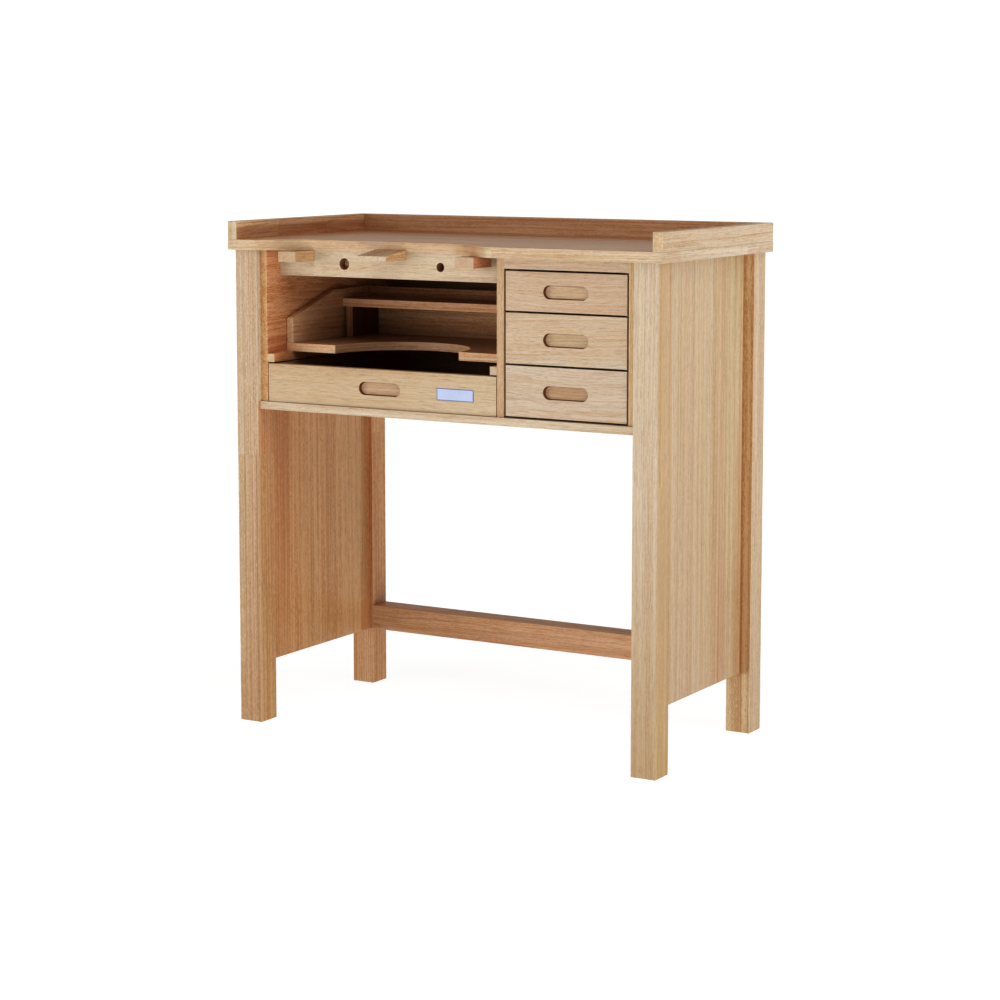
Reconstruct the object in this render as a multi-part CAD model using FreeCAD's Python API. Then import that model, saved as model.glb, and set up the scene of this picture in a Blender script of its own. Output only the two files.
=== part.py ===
import FreeCAD, Part
import math
import os

# Jewelers bench in solid wood: a worktop with a low gallery and a sitter's
# cut-out on four square legs, a carcass with a bay for a work tray and a catch
# drawer on the left, three small drawers on the right, pull-out arm rests and
# a push-in bench pin in a rail under the front of the worktop.
#
# Millimetres, +Z up, front of the bench towards -Y. Below, y is measured from
# the front edge of the worktop towards the rear; every shape is moved by -YC
# on export, so that the frame's origin is the centre of the bench's footprint
# on the floor.

# ---------------------------------------------------------------- dimensions
YC = 231.0                 # from the worktop's front edge to the origin

# worktop and gallery
TOP_W = 940.0
TOP_D = 468.0
TOP_Z0 = 929.0             # underside of the worktop = top of the legs
TOP_T = 20.0
TOP_Z1 = TOP_Z0 + TOP_T
GAL_T = 20.0
GAL_H = 35.0
GAL_LET = 1.0              # the gallery boards are let this far into the worktop
CUT_Y = 66.0               # depth of the sitter's cut-out in its flat middle
CUT_LEFT = [(-413.0, 0.0), (-399.0, 11.0), (-385.0, 24.0), (-369.0, 37.5),
            (-353.0, 49.5), (-339.0, 58.5), (-325.0, 64.0), (-309.0, CUT_Y)]
CUT_RIGHT = [(11.0, CUT_Y), (27.0, 62.5), (43.0, 52.0), (58.5, 39.5),
             (73.0, 27.0), (87.0, 16.0), (101.0, 7.0), (120.0, 0.0)]

# legs, side panels, stretcher
LEG = 50.0
LEG_X0 = 408.5             # inner face of the legs
LEG_X1 = LEG_X0 + LEG
LEG_FY = 9.0               # front face of the front legs
LEG_RY = 409.0             # front face of the rear legs
SIDE_X0 = 416.0            # inner face of the side panels
SIDE_T = 20.0
SIDE_Z0 = 116.5
SIDE_LET = 10.0            # how far the panels are let into the legs
STR_Z0 = 116.5             # stretcher, square, flush with the rear legs
STR_TENON = 30.0
STR_TENON_Y = 26.0

# carcass
CASE_T = 15.0
CASE_Y0 = 20.5             # front edges of the carcass panels
BOT_Y0 = 14.0              # front edge of the bottom board
BOT_Z0 = 621.0
BOT_Z1 = BOT_Z0 + CASE_T
BACK_T = 12.0
BACK_Y1 = LEG_RY + LEG     # back panel, flush with the rear legs
BACK_Y0 = BACK_Y1 - BACK_T
CASE_X1 = LEG_X0
CASE_X0 = CASE_X1 - CASE_T     # inner faces of the carcass panels
DIV_X0 = 121.6
DIV_X1 = DIV_X0 + CASE_T
BAY_XC = -135.95           # middle of the bay between left panel and divider
FILL_Z0 = 909.2            # rail over the drawers
FILL_T = 20.0

# rail under the cut-out
RAIL_Y0 = 65.0
RAIL_T = 20.0
RAIL_Z0 = 879.0
HOLE_Z = 904.3
HOLE_L_X, HOLE_L_R = -243.3, 11.0
HOLE_R_X, HOLE_R_R = -27.0, 8.5

# arm rests and their rear guides
ARM_X = [(-353.0, -313.0), (43.0, 83.0)]
ARM_Y0 = 2.5
ARM_LEN = 340.0
ARM_Z0 = 908.5
ARM_Z1 = 928.5
ARM_CLR = 0.3
GUIDE_Y0 = 190.0
GUIDE_D = 25.0
GUIDE_Z0 = 893.0
GUIDE_CHEEK = 14.0
PEG_D = 8.0
PEG_Y = 336.0              # the peg meets the guide when the rest is out
PEG_DROP = 9.0

# bench pin
PIN_X0, PIN_X1 = -168.0, -102.5
PIN_Y0 = -6.0
PIN_Z0 = 916.0
PIN_Z_FRONT = 925.8
PIN_Z_REAR = 935.3
PIN_TENON_X0, PIN_TENON_X1 = -160.0, -110.0
PIN_TENON_Y1 = 112.0
PIN_TENON_Z0, PIN_TENON_Z1 = 917.0, 928.6

# tray runners and work tray
TRUN_W = 15.0
TRUN_Z0, TRUN_Z1 = 712.8, 728.7
TRUN_Y0 = 21.0
TRAY_Z0, TRAY_Z1 = 729.1, 745.4
TRAY_X0, TRAY_X1 = -392.6, 120.7
TRAY_Y0, TRAY_Y1 = 83.5, 370.0
TRAY_SIDE_X0, TRAY_SIDE_X1 = -391.7, 119.8
TRAY_T = 14.5
TRAY_SIDE_ZF = 794.0       # height of the side boards at their front edge
TRAY_SIDE_ZB = 841.2
TRAY_SIDE_YB = 230.0       # where the slope of the side boards ends
TRAY_BACK_Y0 = 355.0
SHELF_Y0 = 258.0
SHELF_Z0, SHELF_Z1 = 806.2, 822.4
UPR_INSET = 7.2            # uprights stand this far in from the side boards
UPR_T = 15.0
ARC_XC, ARC_YC, ARC_R = -138.3, 87.0, 139.8   # semicircular cut-out

# catch drawer
CAT_X0, CAT_X1 = -392.0, 120.0
CAT_Z0, CAT_Z1 = 636.5, 710.0
FRONT_Y0 = 21.0            # face of all the drawer fronts
FRONT_T = 18.0
CAT_T = 12.0
BOX_Y1 = 430.0             # rear end of all the drawer boxes
CAT_BOT_Z0, CAT_BOT_T = 643.0, 5.0
CAT_REC_X, CAT_REC_Z = -136.0, 673.0

# finger recesses in the drawer fronts
REC_W = 93.0
REC_H = 25.0
REC_DEPTH = 10.0
REC_ROUND = 4.5            # radius between the walls and the floor of a recess

# blank label plate on the catch drawer
PLATE_X0, PLATE_X1 = -8.0, 72.0
PLATE_Z0, PLATE_Z1 = 660.0, 683.0
PLATE_T = 0.8

# small drawers: (front bottom, front top, box bottom, box top, recess centre)
DRW_X0, DRW_X1 = 140.2, 389.9
DRW_T = 10.0
DRW_REC_X = 265.0
DRAWERS = {
    "top": (833.2, 905.7, 834.5, 898.0, 869.1),
    "middle": (736.5, 829.7, 737.8, 823.0, 782.3),
    "bottom": (639.3, 733.0, 640.3, 726.3, 686.4),
}
DRW_BOT_LIFT = 5.0
DRW_BOT_T = 4.0
GROOVE = 4.0               # bottoms are let this far into the box boards
RUN_W = 18.0
RUN_Y0 = 40.0
RUNNERS_Z = [(636.0, 640.0), (727.5, 737.5), (824.2, 834.2), (899.2, 909.2)]
SLIP_T = 3.0
SLIP_H = 20.0
STOP_CLR = 0.5

# fasteners
DOWEL_D = 10.0
DOWEL_LEN = 40.0
DOWEL_UP = 12.0
SCREW_D = 3.6
SCREW_HEAD_D = 7.4
SCREW_HEAD_H = 2.2

os.makedirs("parts", exist_ok=True)
V = FreeCAD.Vector


# ------------------------------------------------------------------- helpers
def box(x0, x1, y0, y1, z0, z1):
    return Part.makeBox(x1 - x0, y1 - y0, z1 - z0, V(x0, y0, z0))


def cyl(x, y, z, r, length, axis):
    return Part.makeCylinder(r, length, V(x, y, z), V(*axis))


def prism_x(points, x0, x1):
    """Extrude a closed (y, z) outline from x0 to x1."""
    pts = [V(x0, y, z) for y, z in points]
    face = Part.Face(Part.makePolygon(pts + [pts[0]]))
    return face.extrude(V(x1 - x0, 0, 0))


def one(shape):
    """The single solid of a boolean result."""
    shape = shape.removeSplitter()
    solids = shape.Solids
    assert len(solids) == 1, len(solids)
    return solids[0]


def out(name, shape):
    """Write one piece, or one group of separate solids, to its file."""
    solids = list(shape) if isinstance(shape, (list, tuple)) else [one(shape)]
    moved = []
    for s in solids:
        s = s.copy()
        s.translate(V(0, -YC, 0))
        assert s.isValid(), name
        moved.append(s)
    final = moved[0] if len(moved) == 1 else Part.makeCompound(moved)
    final.exportStep("parts/%s.step" % name)
    PIECES[name] = final


def stadium_pocket(xc, zc, width, height, y0, depth):
    """A lying stadium, sunk into a front whose face is at y0, with a rounded
    transition to its floor."""
    r = height / 2.0
    h = width / 2.0 - r
    a = V(xc - h, y0 - 1, zc + r)
    b = V(xc + h, y0 - 1, zc + r)
    c = V(xc + h, y0 - 1, zc - r)
    d = V(xc - h, y0 - 1, zc - r)
    wire = Part.Wire([
        Part.LineSegment(a, b).toShape(),
        Part.Arc(b, V(xc + h + r, y0 - 1, zc), c).toShape(),
        Part.LineSegment(c, d).toShape(),
        Part.Arc(d, V(xc - h - r, y0 - 1, zc), a).toShape(),
    ])
    pocket = Part.Face(wire).extrude(V(0, depth + 1, 0))
    floor = [e for e in pocket.Edges if e.BoundBox.YMin > y0 + depth - 1e-4]
    return pocket.makeFillet(REC_ROUND, floor)


def screw(x, y, z, length, axis):
    """A countersunk screw; x, y, z is the middle of its flat head."""
    a = V(*axis)
    head = Part.makeCone(SCREW_HEAD_D / 2, SCREW_D / 2, SCREW_HEAD_H, V(x, y, z), a)
    p = V(x, y, z) + a * SCREW_HEAD_H
    shank = Part.makeCylinder(SCREW_D / 2, length - SCREW_HEAD_H, p, a)
    return one(head.fuse(shank))


PIECES = {}

# ----------------------------------------------------------------- fasteners
# Dowels that tie the legs to the worktop, two per leg.
dowels = []
for sx in (-1, 1):
    for y in (LEG_FY + 18.0, LEG_RY + LEG - 18.0):
        for x in (421.0, 447.0):
            dowels.append(cyl(sx * x, y, TOP_Z0 + DOWEL_UP - DOWEL_LEN,
                              DOWEL_D / 2, DOWEL_LEN, (0, 0, 1)))

# Screws of the tray runners, and of the guides under the worktop.
screws = []
TRUN_ZM = (TRUN_Z0 + TRUN_Z1) / 2
for y in (130.0, 380.0):
    screws.append(screw(-CASE_X0 + TRUN_W, y, TRUN_ZM, 26.0, (-1, 0, 0)))
    screws.append(screw(DIV_X0 - TRUN_W, y, TRUN_ZM, 26.0, (1, 0, 0)))
for x0, x1 in ARM_X:
    for x in (x0 - GUIDE_CHEEK / 2, x1 + GUIDE_CHEEK / 2):
        screws.append(screw(x, GUIDE_Y0 + GUIDE_D / 2, GUIDE_Z0, 47.0, (0, 0, 1)))


def bored(shape, fasteners):
    """Holes for the dowels or screws that go into a piece."""
    return shape.cut(Part.makeCompound(fasteners))


# ------------------------------------------------------------------- worktop
hw = TOP_W / 2
left_curve = Part.BSplineCurve()
left_curve.interpolate([V(x, y, TOP_Z0) for x, y in CUT_LEFT],
                       InitialTangent=V(1, 0.35, 0), FinalTangent=V(1, 0, 0))
right_curve = Part.BSplineCurve()
right_curve.interpolate([V(x, y, TOP_Z0) for x, y in CUT_RIGHT],
                        InitialTangent=V(1, 0, 0), FinalTangent=V(1, -0.2, 0))


def top_pt(x, y):
    return V(x, y, TOP_Z0)


def seg(a, b):
    return Part.LineSegment(top_pt(*a), top_pt(*b)).toShape()


outline = Part.Wire([
    seg((-hw, 0), CUT_LEFT[0]),
    left_curve.toShape(),
    seg(CUT_LEFT[-1], CUT_RIGHT[0]),
    right_curve.toShape(),
    seg(CUT_RIGHT[-1], (hw, 0)),
    seg((hw, 0), (hw, TOP_D)),
    seg((hw, TOP_D), (-hw, TOP_D)),
    seg((-hw, TOP_D), (-hw, 0)),
])
worktop = Part.Face(outline).extrude(V(0, 0, TOP_T))
worktop = bored(worktop, dowels + screws)

# The gallery boards stand in shallow rebates along three edges of the worktop.
gz0, gz1 = TOP_Z1 - GAL_LET, TOP_Z1 + GAL_H
gallery = {
    "left": box(-hw, -hw + GAL_T, 0, TOP_D, gz0, gz1),
    "right": box(hw - GAL_T, hw, 0, TOP_D, gz0, gz1),
    "back": box(-hw + GAL_T, hw - GAL_T, TOP_D - GAL_T, TOP_D, gz0, gz1),
}
for which, board in gallery.items():
    worktop = worktop.cut(board)
    out("gallery_" + which, board)
out("worktop", worktop)

# ------------------------------------------------- side panels and stretcher
def side_panel(s):
    xs = sorted((s * SIDE_X0, s * (SIDE_X0 + SIDE_T)))
    return box(xs[0], xs[1], LEG_FY + LEG - SIDE_LET, LEG_RY + SIDE_LET,
               SIDE_Z0, TOP_Z0)


side_l, side_r = side_panel(-1), side_panel(1)
out("side_panel_left", side_l)
out("side_panel_right", side_r)

str_y0 = LEG_RY
stretcher = box(-LEG_X0, LEG_X0, str_y0, str_y0 + LEG, STR_Z0, STR_Z0 + LEG)
ty = (LEG - STR_TENON_Y) / 2
stretcher = stretcher.fuse(box(
    -LEG_X0 - STR_TENON, LEG_X0 + STR_TENON, str_y0 + ty, str_y0 + LEG - ty,
    STR_Z0 + 10, STR_Z0 + LEG - 10))
stretcher = one(stretcher)
out("rear_stretcher", stretcher)

# ---------------------------------------------------------------------- legs
# Square legs with a stopped groove for the side panel, dowel holes in the
# top, and in the rear legs a mortise for the stretcher.
for sx, sname in ((-1, "left"), (1, "right")):
    x0, x1 = sorted((sx * LEG_X0, sx * LEG_X1))
    panel = side_l if sx < 0 else side_r
    front = box(x0, x1, LEG_FY, LEG_FY + LEG, 0, TOP_Z0)
    rear = box(x0, x1, LEG_RY, LEG_RY + LEG, 0, TOP_Z0)
    out("leg_front_" + sname, bored(front.cut(panel), dowels))
    out("leg_rear_" + sname, bored(rear.cut(panel).cut(stretcher), dowels))

# ------------------------------------------------------------------- carcass
out("bottom_board", box(-CASE_X1, CASE_X1, BOT_Y0, BACK_Y0, BOT_Z0, BOT_Z1))
out("case_panel_left", bored(
    box(-CASE_X1, -CASE_X0, CASE_Y0, BACK_Y0, BOT_Z1, TOP_Z0), screws))
out("case_panel_right", box(CASE_X0, CASE_X1, CASE_Y0, BACK_Y0, BOT_Z1, TOP_Z0))
out("divider_panel", bored(
    box(DIV_X0, DIV_X1, CASE_Y0, BACK_Y0, BOT_Z1, TOP_Z0), screws))
out("case_back_panel", box(-CASE_X1, CASE_X1, BACK_Y0, BACK_Y1, BOT_Z0, TOP_Z0))
out("drawer_top_rail", box(DIV_X1, CASE_X0, CASE_Y0, CASE_Y0 + FILL_T,
                           FILL_Z0, TOP_Z0))

# Rail under the cut-out: two through holes for mandrels, open notches in its
# top edge for the arm rests and for the tenon of the bench pin.
rail = box(-CASE_X0, DIV_X0, RAIL_Y0, RAIL_Y0 + RAIL_T, RAIL_Z0, TOP_Z0)
for x, r in ((HOLE_L_X, HOLE_L_R), (HOLE_R_X, HOLE_R_R)):
    rail = rail.cut(cyl(x, RAIL_Y0 - 1, HOLE_Z, r, RAIL_T + 2, (0, 1, 0)))
for x0, x1 in ARM_X:
    rail = rail.cut(box(x0 - ARM_CLR, x1 + ARM_CLR, RAIL_Y0 - 1,
                        RAIL_Y0 + RAIL_T + 1, ARM_Z0 - ARM_CLR, TOP_Z0 + 1))
rail = rail.cut(box(PIN_TENON_X0 - 0.4, PIN_TENON_X1 + 0.4, RAIL_Y0 - 1,
                    RAIL_Y0 + RAIL_T + 1, PIN_TENON_Z0 - 0.3, TOP_Z0 + 1))
out("pin_rail", rail)

# Guides under the worktop that carry the rear of each arm rest.
for (x0, x1), side in zip(ARM_X, ("left", "right")):
    guide = box(x0 - GUIDE_CHEEK, x1 + GUIDE_CHEEK, GUIDE_Y0,
                GUIDE_Y0 + GUIDE_D, GUIDE_Z0, TOP_Z0)
    guide = guide.cut(box(x0 - ARM_CLR, x1 + ARM_CLR, GUIDE_Y0 - 1,
                          GUIDE_Y0 + GUIDE_D + 1, ARM_Z0 - ARM_CLR, TOP_Z0 + 1))
    out("arm_rest_guide_" + side, bored(guide, screws))

# Runners that carry the work tray.
out("tray_runner_left", bored(box(
    -CASE_X0, -CASE_X0 + TRUN_W, TRUN_Y0, BACK_Y0, TRUN_Z0, TRUN_Z1), screws))
out("tray_runner_right", bored(box(
    DIV_X0 - TRUN_W, DIV_X0, TRUN_Y0, BACK_Y0, TRUN_Z0, TRUN_Z1), screws))

# Runners under each small drawer, and a pair that keeps the top one level.
runners = []
for z0, z1 in RUNNERS_Z:
    runners.append(box(DIV_X1, DIV_X1 + RUN_W, RUN_Y0, BACK_Y0, z0, z1))
    runners.append(box(CASE_X0 - RUN_W, CASE_X0, RUN_Y0, BACK_Y0, z0, z1))
out("drawer_runners", runners)

# Thin slips beside each drawer that guide it sideways.
slips = []
for z0, z1 in RUNNERS_Z[:3]:
    slips.append(box(DIV_X1, DIV_X1 + SLIP_T, RUN_Y0, BACK_Y0, z1, z1 + SLIP_H))
    slips.append(box(CASE_X0 - SLIP_T, CASE_X0, RUN_Y0, BACK_Y0, z1, z1 + SLIP_H))
out("drawer_guide_slips", slips)

# Blocks behind the drawers and the tray that stop them in their closed place.
stops = []
for fz0, fz1, bz0, bz1, rz in DRAWERS.values():
    stops.append(box(DRW_REC_X - 20, DRW_REC_X + 20, BOX_Y1 + STOP_CLR, BACK_Y0,
                     bz0 + 20, bz0 + 50))
stops.append(box(BAY_XC - 20, BAY_XC + 20, BOX_Y1 + STOP_CLR, BACK_Y0,
                 CAT_Z0 + 15, CAT_Z0 + 45))
for x0 in (-CASE_X0, DIV_X0 - TRUN_W):
    stops.append(box(x0, x0 + TRUN_W, TRAY_Y1 + STOP_CLR, TRAY_Y1 + STOP_CLR + 20,
                     TRUN_Z1, TRUN_Z1 + 16))
out("drawer_stops", stops)

out("worktop_dowels", dowels)
out("guide_screws", screws)

# ----------------------------------------------------------------- arm rests
for (x0, x1), side in zip(ARM_X, ("left", "right")):
    xm = (x0 + x1) / 2
    bar = box(x0, x1, ARM_Y0, ARM_Y0 + ARM_LEN, ARM_Z0, ARM_Z1)
    peg = cyl(xm, PEG_Y, ARM_Z0 - PEG_DROP, PEG_D / 2, PEG_DROP + 12, (0, 0, 1))
    out("arm_rest_" + side, bar.cut(peg))
    out("arm_rest_peg_" + side, peg)

# ----------------------------------------------------------------- bench pin
pin = prism_x([(PIN_Y0, PIN_Z0), (RAIL_Y0 - 0.3, PIN_Z0),
               (RAIL_Y0 - 0.3, PIN_Z_REAR), (PIN_Y0, PIN_Z_FRONT)],
              PIN_X0, PIN_X1)
pin = pin.fuse(box(PIN_TENON_X0, PIN_TENON_X1, RAIL_Y0 - 2, PIN_TENON_Y1,
                   PIN_TENON_Z0, PIN_TENON_Z1))
out("bench_pin", pin)

# ----------------------------------------------------------------- work tray
board = box(TRAY_X0, TRAY_X1, TRAY_Y0, TRAY_Y1, TRAY_Z0, TRAY_Z1)
board = board.cut(cyl(ARC_XC, ARC_YC, TRAY_Z0 - 1, ARC_R,
                      TRAY_Z1 - TRAY_Z0 + 2, (0, 0, 1)))
board = board.cut(box(ARC_XC - ARC_R, ARC_XC + ARC_R, TRAY_Y0 - 1, ARC_YC,
                      TRAY_Z0 - 1, TRAY_Z1 + 1))
out("tray_board", board)

side_outline = [(TRAY_Y0, TRAY_Z1), (TRAY_Y1, TRAY_Z1), (TRAY_Y1, TRAY_SIDE_ZB),
                (TRAY_SIDE_YB, TRAY_SIDE_ZB), (TRAY_Y0, TRAY_SIDE_ZF)]
in_l, in_r = TRAY_SIDE_X0 + TRAY_T, TRAY_SIDE_X1 - TRAY_T
out("tray_side_left", prism_x(side_outline, TRAY_SIDE_X0, in_l))
out("tray_side_right", prism_x(side_outline, in_r, TRAY_SIDE_X1))
out("tray_back", box(in_l, in_r, TRAY_BACK_Y0, TRAY_Y1, TRAY_Z1, TRAY_SIDE_ZB))
out("tray_upper_shelf", box(in_l, in_r, SHELF_Y0, TRAY_BACK_Y0,
                            SHELF_Z0, SHELF_Z1))
out("tray_upright_left", box(in_l + UPR_INSET, in_l + UPR_INSET + UPR_T,
                             SHELF_Y0, TRAY_BACK_Y0, TRAY_Z1, SHELF_Z0))
out("tray_upright_right", box(in_r - UPR_INSET - UPR_T, in_r - UPR_INSET,
                              SHELF_Y0, TRAY_BACK_Y0, TRAY_Z1, SHELF_Z0))


# ------------------------------------------------------------------- drawers
def drawer(prefix, x0, x1, fz0, fz1, bz0, bz1, t, bot_z, bot_t, rec, cut=None):
    """Front with a finger recess, two sides, a back and a let-in bottom."""
    fy1 = FRONT_Y0 + FRONT_T
    bottom = box(x0 + t - GROOVE, x1 - t + GROOVE, fy1 - GROOVE,
                 BOX_Y1 - t + GROOVE, bot_z, bot_z + bot_t)
    front = box(x0, x1, FRONT_Y0, fy1, fz0, fz1)
    front = front.cut(stadium_pocket(rec[0], rec[1], REC_W, REC_H,
                                     FRONT_Y0, REC_DEPTH))
    if cut is not None:
        front = front.cut(cut)
    out(prefix + "_front", front.cut(bottom))
    out(prefix + "_side_left",
        box(x0, x0 + t, fy1, BOX_Y1, bz0, bz1).cut(bottom))
    out(prefix + "_side_right",
        box(x1 - t, x1, fy1, BOX_Y1, bz0, bz1).cut(bottom))
    out(prefix + "_back",
        box(x0 + t, x1 - t, BOX_Y1 - t, BOX_Y1, bz0, bz1).cut(bottom))
    out(prefix + "_bottom", bottom)


drawer("catch_drawer", CAT_X0, CAT_X1, CAT_Z0, CAT_Z1, CAT_Z0, CAT_Z1, CAT_T,
       CAT_BOT_Z0, CAT_BOT_T, (CAT_REC_X, CAT_REC_Z))

# Blank plate, glued on the face of the catch drawer.
plate = box(PLATE_X0, PLATE_X1, FRONT_Y0 - PLATE_T, FRONT_Y0, PLATE_Z0, PLATE_Z1)
plate = plate.makeFillet(2.0, [e for e in plate.Edges
                               if abs(e.BoundBox.YLength - PLATE_T) < 1e-6
                               and e.BoundBox.XLength < 1e-6])
out("catch_drawer_plate", plate)

for which, (fz0, fz1, bz0, bz1, rz) in DRAWERS.items():
    drawer("drawer_" + which, DRW_X0, DRW_X1, fz0, fz1, bz0, bz1, DRW_T,
           bz0 + DRW_BOT_LIFT, DRW_BOT_T, (DRW_REC_X, rz))

# ------------------------------------------------------------------- summary
bb = FreeCAD.BoundBox()
for s in PIECES.values():
    bb.add(s.BoundBox)
print("nodes", len(PIECES))
print("solids", sum(len(s.Solids) for s in PIECES.values()))
print("box x %.1f..%.1f y %.1f..%.1f z %.1f..%.1f" % (
    bb.XMin, bb.XMax, bb.YMin, bb.YMax, bb.ZMin, bb.ZMax))
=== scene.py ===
import math
import random

import bpy
from mathutils import Matrix, Vector


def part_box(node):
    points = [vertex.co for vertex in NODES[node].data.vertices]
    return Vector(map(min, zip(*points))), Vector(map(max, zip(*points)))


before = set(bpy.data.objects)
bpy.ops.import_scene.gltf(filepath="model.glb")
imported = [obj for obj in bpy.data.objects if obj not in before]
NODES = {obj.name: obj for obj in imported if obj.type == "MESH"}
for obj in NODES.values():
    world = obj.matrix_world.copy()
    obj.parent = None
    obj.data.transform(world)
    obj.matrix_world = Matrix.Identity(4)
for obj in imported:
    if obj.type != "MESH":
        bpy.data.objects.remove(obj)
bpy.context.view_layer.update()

scene = bpy.context.scene


# --------------------------------------------------------------------- camera
def make_camera():
    """At the front right of the bench, a little above the worktop."""
    az, pitch = math.radians(30.422), math.radians(6.647)
    f_px = 2498.9
    loc = Vector((2.4355, -3.9080 - 0.231, 1.1805))
    cam = bpy.data.cameras.new("camera")
    cam.sensor_width = 36.0
    cam.lens = f_px * 36.0 / 1000.0
    cam.shift_y = -0.09
    cam.clip_start, cam.clip_end = 0.05, 200.0
    obj = bpy.data.objects.new("camera", cam)
    scene.collection.objects.link(obj)
    d = Vector((-math.sin(az) * math.cos(pitch), math.cos(az) * math.cos(pitch),
                -math.sin(pitch)))
    r = Vector((math.cos(az), math.sin(az), 0.0))
    u = r.cross(d)
    m = Matrix((r, u, -d)).transposed().to_4x4()
    m.translation = loc
    obj.matrix_world = m
    scene.camera = obj
    return obj


make_camera()


# --------------------------------------------------------------- node helpers
def lin(r, g, b):
    """An sRGB colour in 0..255 as a linear RGBA tuple."""
    def c(v):
        v /= 255.0
        return v / 12.92 if v <= 0.04045 else ((v + 0.055) / 1.055) ** 2.4
    return (c(r), c(g), c(b), 1.0)


class Tree:
    """Short calls for building a material's nodes."""

    def __init__(self, name):
        self.mat = bpy.data.materials.new(name)
        self.mat.use_nodes = True
        self.t = self.mat.node_tree
        self.t.nodes.clear()
        self.x = 0

    def node(self, kind, **props):
        n = self.t.nodes.new(kind)
        self.x += 180
        n.location = (self.x, 0)
        for k, v in props.items():
            setattr(n, k, v)
        return n

    def put(self, socket, value):
        if isinstance(value, bpy.types.NodeSocket):
            self.t.links.new(value, socket)
        else:
            socket.default_value = value

    def math(self, op, a, b=None, c=None, clamp=False):
        n = self.node("ShaderNodeMath", operation=op, use_clamp=clamp)
        for i, v in enumerate((a, b, c)):
            if v is not None:
                self.put(n.inputs[i], v)
        return n.outputs[0]

    def combine(self, x, y, z):
        n = self.node("ShaderNodeCombineXYZ")
        for i, v in enumerate((x, y, z)):
            self.put(n.inputs[i], v)
        return n.outputs[0]

    def separate(self, v):
        n = self.node("ShaderNodeSeparateXYZ")
        self.put(n.inputs[0], v)
        return n.outputs

    def vec(self, op, a, b=None):
        n = self.node("ShaderNodeVectorMath", operation=op)
        self.put(n.inputs[0], a)
        if b is not None:
            if op == "SCALE":
                self.put(n.inputs["Scale"], b)
            else:
                self.put(n.inputs[1], b)
        return n.outputs[0]

    def noise(self, vector, scale, detail=2.0, rough=0.5, distortion=0.0, color=False):
        """Noise over a vector that is first scaled per axis."""
        v = self.vec("MULTIPLY", vector, tuple(scale))
        n = self.node("ShaderNodeTexNoise", noise_dimensions="3D")
        self.put(n.inputs["Vector"], v)
        n.inputs["Scale"].default_value = 1.0
        n.inputs["Detail"].default_value = detail
        n.inputs["Roughness"].default_value = rough
        n.inputs["Distortion"].default_value = distortion
        return n.outputs["Color" if color else "Fac"]

    def ramp(self, fac, stops, interp="LINEAR"):
        n = self.node("ShaderNodeValToRGB")
        n.color_ramp.interpolation = interp
        e = n.color_ramp.elements
        while len(e) > 1:
            e.remove(e[-1])
        e[0].position, e[0].color = stops[0][0], stops[0][1]
        for p, c in stops[1:]:
            s = e.new(p)
            s.color = c
        self.put(n.inputs[0], fac)
        return n.outputs[0]

    def mix(self, fac, a, b, blend="MIX"):
        n = self.node("ShaderNodeMix", data_type="RGBA", blend_type=blend)
        n.clamp_factor = True
        self.put(n.inputs[0], fac)
        self.put(n.inputs[6], a)
        self.put(n.inputs[7], b)
        return n.outputs[2]

    def spread(self, v, lo, hi, out_lo=0.0, out_hi=1.0, smooth=False):
        n = self.node("ShaderNodeMapRange")
        n.clamp = True
        if smooth:
            n.interpolation_type = "SMOOTHSTEP"
        self.put(n.inputs[0], v)
        for i, x in zip((1, 2, 3, 4), (lo, hi, out_lo, out_hi)):
            n.inputs[i].default_value = x
        return n.outputs[0]

    def finish(self, **sockets):
        p = self.node("ShaderNodeBsdfPrincipled")
        for k, v in sockets.items():
            self.put(p.inputs[k.replace("_", " ")], v)
        o = self.node("ShaderNodeOutputMaterial")
        self.t.links.new(p.outputs[0], o.inputs[0])
        return self.mat


AX = {"x": 0, "y": 1, "z": 2}


def scaled(colour, factor):
    """A linear colour times a factor per channel, as RGBA."""
    return tuple(c * f for c, f in zip(colour, factor)) + (1.0,)


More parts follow.
